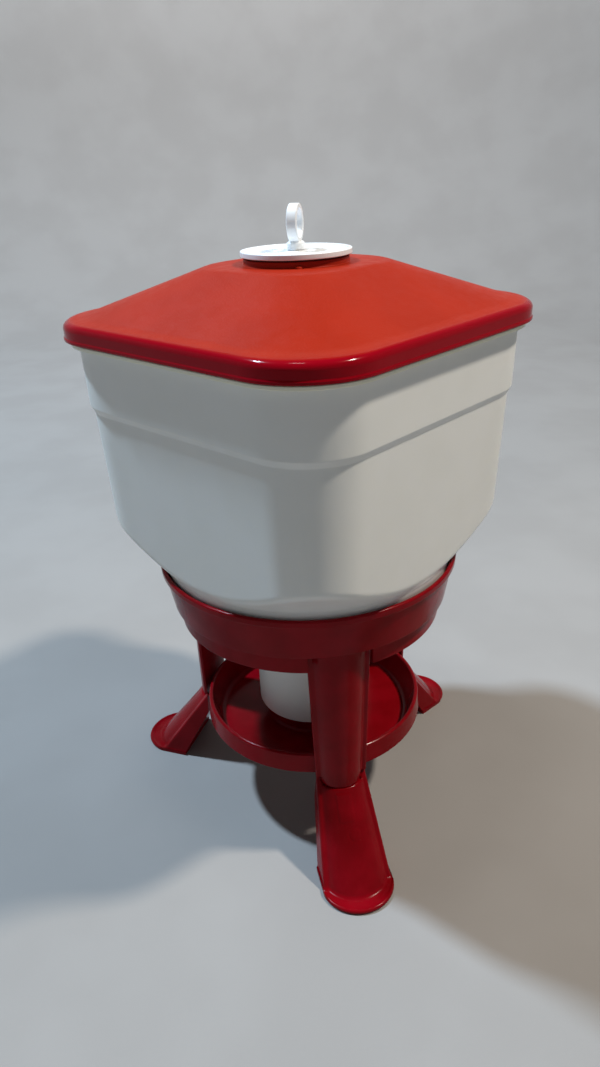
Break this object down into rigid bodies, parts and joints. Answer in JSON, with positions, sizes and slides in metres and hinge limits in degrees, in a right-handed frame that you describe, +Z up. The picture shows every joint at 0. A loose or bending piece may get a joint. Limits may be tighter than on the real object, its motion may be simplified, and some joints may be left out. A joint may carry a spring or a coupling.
{
  "type": "gravity poultry drinker",
  "caption": "Square water tank with a pitched lid on a three-legged round stand, feeding a round drinking pan through a white neck and a ring-operated valve.",
  "frame": {"origin": "on the tank's upright axis, at floor level", "axes": "+Z up along the tank's axis; one leg points along -Y; the tank's side faces are turned 35.43 degrees from the X axis"},
  "size_m": [0.4752, 0.4846, 0.7],
  "materials": {
    "roof_red": "satin with a fine stipple, glossy rolled edge",
    "stand_red": "glossy moulded polypropylene",
    "tank_white": "slightly translucent moulded polyethylene, satin",
    "cap_white": "glossy moulded plastic",
    "valve_grey": "satin moulded acetal",
    "rubber": "matt",
    "steel": "drawn stainless wire and bar"
  },
  "bodies": {
    "stand": {"base_ring": "stand_red", "leg_upper_1": "stand_red", "leg_upper_2": "stand_red", "leg_upper_3": "stand_red", "leg_foot_1": "stand_red", "leg_foot_2": "stand_red", "leg_foot_3": "stand_red"},
    "tank": {"tank": "tank_white", "neck_gasket": "rubber", "outlet_neck": "tank_white", "neck_nut": "cap_white", "rod_guide": "valve_grey", "return_spring": "steel"},
    "pan": {"drinking_pan": "stand_red"},
    "roof": {"roof_lid": "roof_red", "roof_seal": "rubber"},
    "cap_seal": {"cap_gasket": "rubber"},
    "cap": {"fill_cap": "cap_white", "gland_nut": "cap_white", "rod_seal": "rubber"},
    "ring": {"pull_ring": "cap_white", "stem_foot": "valve_grey"},
    "valve": {"valve_rod": "steel", "spring_collar": "valve_grey", "valve_head": "valve_grey", "valve_washer": "rubber", "valve_nut": "steel"}
  },
  "joints": [
    {"name": "tank_lift", "type": "slide", "parent": "stand", "child": "tank", "axis": [0, 0, 1], "range_m": [0, 0.25]},
    {"name": "pan_turn", "type": "hinge", "parent": "tank", "child": "pan", "pos_m": [0, 0, 0.13], "axis": [0, 0, 1], "range_deg": [0, 60]},
    {"name": "roof_lift", "type": "slide", "parent": "tank", "child": "roof", "axis": [0, 0, 1], "range_m": [0, 0.12]},
    {"name": "cap_lift", "type": "slide", "parent": "roof", "child": "cap_seal", "axis": [0, 0, 1], "range_m": [0, 0.1]},
    {"name": "cap_turn", "type": "hinge", "parent": "cap_seal", "child": "cap", "pos_m": [0, 0, 0.65], "axis": [0, 0, 1], "continuous": true},
    {"name": "ring_pull", "type": "slide", "parent": "cap", "child": "ring", "axis": [0, 0, 1], "range_m": [0, 0.016]},
    {"name": "valve_lift", "type": "slide", "parent": "tank", "child": "valve", "axis": [0, 0, 1], "range_m": [0, 0.016], "deforming": ["return_spring"]}
  ],
  "couplings": [
    {"joint": "valve_lift", "follows": "ring_pull", "ratio": 1}
  ]
}
